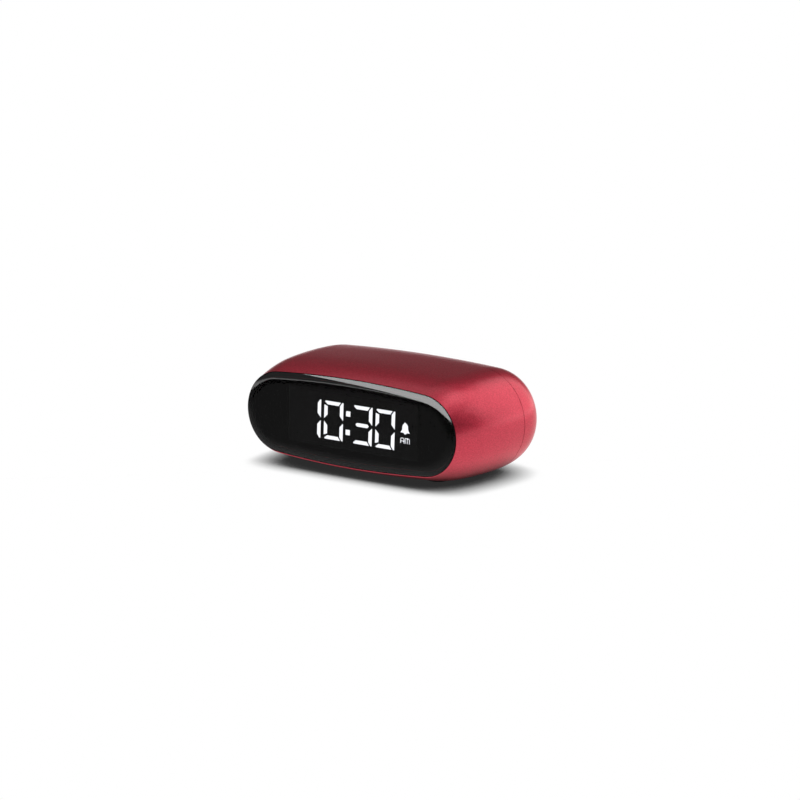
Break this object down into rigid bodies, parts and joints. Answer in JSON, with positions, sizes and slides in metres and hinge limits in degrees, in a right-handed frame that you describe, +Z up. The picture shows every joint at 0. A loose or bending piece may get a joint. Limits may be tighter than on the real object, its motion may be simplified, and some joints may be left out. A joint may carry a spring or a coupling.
{
  "type": "alarm clock",
  "caption": "Pebble-shaped digital alarm clock with a glossy black lens, lit seven-segment time, rear push buttons, a slide switch and a battery door.",
  "frame": {"origin": "centre of the bounding box at the level of the feet's undersides", "axes": "+X to the right of the display as read, +Y towards the back, +Z up; the lens faces -Y"},
  "size_m": [0.102, 0.056, 0.0406],
  "materials": {
    "shell_paint": "metallic red paint with fine flake on moulded plastic",
    "cover_paint": "metallic red paint on moulded plastic",
    "lens_smoke": "smoked clear acrylic, polished",
    "tape_black": "black foam tape",
    "mask_black": "printed black film",
    "housing_black": "matt black moulded plastic",
    "segment_lit": "milky light guide, lit white",
    "segment_dark": "smoked light guide, unlit",
    "board_green": "solder-masked circuit board",
    "chip_black": "moulded epoxy",
    "connector_white": "natural nylon",
    "ribbon_white": "flat flexible cable",
    "can_steel": "satin metal can",
    "contact_nickel": "nickel-plated spring steel",
    "copper_foil": "copper foil",
    "button_rubber": "soft satin black",
    "switch_black": "moulded black plastic",
    "foot_rubber": "matt black rubber",
    "cell_wrap": "plain printed sleeve with a bright end",
    "lead_insulation": "insulated wire",
    "screw_steel": "blackened steel",
    "foam_grey": "closed-cell foam"
  },
  "bodies": {
    "clock": {"front_shell": "shell_paint", "rear_cover": "cover_paint", "lens": "lens_smoke", "lens_tape": "tape_black", "display_mask": "mask_black", "display_housing": "housing_black", "hour_tens_segments": "segment_lit", "hour_units_segments": "segment_lit", "minute_tens_segments": "segment_lit", "minute_units_segments": "segment_lit", "colon_dots": "segment_lit", "alarm_icon": "segment_lit", "am_window": "segment_dark", "unlit_segments": "segment_dark", "main_board": "board_green", "controller_chip": "chip_black", "driver_chip": "chip_black", "timing_crystal": "can_steel", "main_connector": "connector_white", "key_connector": "connector_white", "ribbon_cable": "ribbon_white", "touch_plate": "copper_foil", "touch_contact": "contact_nickel", "key_board": "board_green", "tact_switches": "switch_black", "slide_switch_body": "can_steel", "buzzer": "chip_black", "battery_upper": "cell_wrap", "battery_lower": "cell_wrap", "battery_bridge": "contact_nickel", "plus_contact": "contact_nickel", "minus_contact": "contact_nickel", "battery_leads": "lead_insulation", "foot_front_left": "foot_rubber", "foot_front_right": "foot_rubber", "foot_rear_left": "foot_rubber", "foot_rear_right": "foot_rubber", "case_screws": "screw_steel", "board_screws": "screw_steel", "key_board_screws": "screw_steel"},
    "time_key": {"time_button": "button_rubber", "time_plunger": "switch_black"},
    "alarm_key": {"alarm_button": "button_rubber", "alarm_plunger": "switch_black"},
    "minus_key": {"minus_button": "button_rubber", "minus_plunger": "switch_black"},
    "plus_key": {"plus_button": "button_rubber", "plus_plunger": "switch_black"},
    "alarm_slider": {"alarm_switch_knob": "switch_black"},
    "door": {"battery_door": "cover_paint", "door_pad": "foam_grey"}
  },
  "joints": [
    {"name": "time_press", "type": "slide", "parent": "clock", "child": "time_key", "axis": [0, -1, 0], "range_m": [0, 0.0006], "stiffness_N_per_m": 1200, "springref_m": -0.0003},
    {"name": "alarm_press", "type": "slide", "parent": "clock", "child": "alarm_key", "axis": [0, -1, 0], "range_m": [0, 0.0006], "stiffness_N_per_m": 1200, "springref_m": -0.0003},
    {"name": "minus_press", "type": "slide", "parent": "clock", "child": "minus_key", "axis": [0, -1, 0], "range_m": [0, 0.0006], "stiffness_N_per_m": 1200, "springref_m": -0.0003},
    {"name": "plus_press", "type": "slide", "parent": "clock", "child": "plus_key", "axis": [0, -1, 0], "range_m": [0, 0.0006], "stiffness_N_per_m": 1200, "springref_m": -0.0003},
    {"name": "alarm_switch", "type": "slide", "parent": "clock", "child": "alarm_slider", "axis": [1, 0, 0], "range_m": [0, 0.003]},
    {"name": "door_hinge", "type": "hinge", "parent": "clock", "child": "door", "pos_m": [-0.01705, 0.02609, 0.0095], "axis": [-1, 0, 0], "range_deg": [0, 50]}
  ]
}
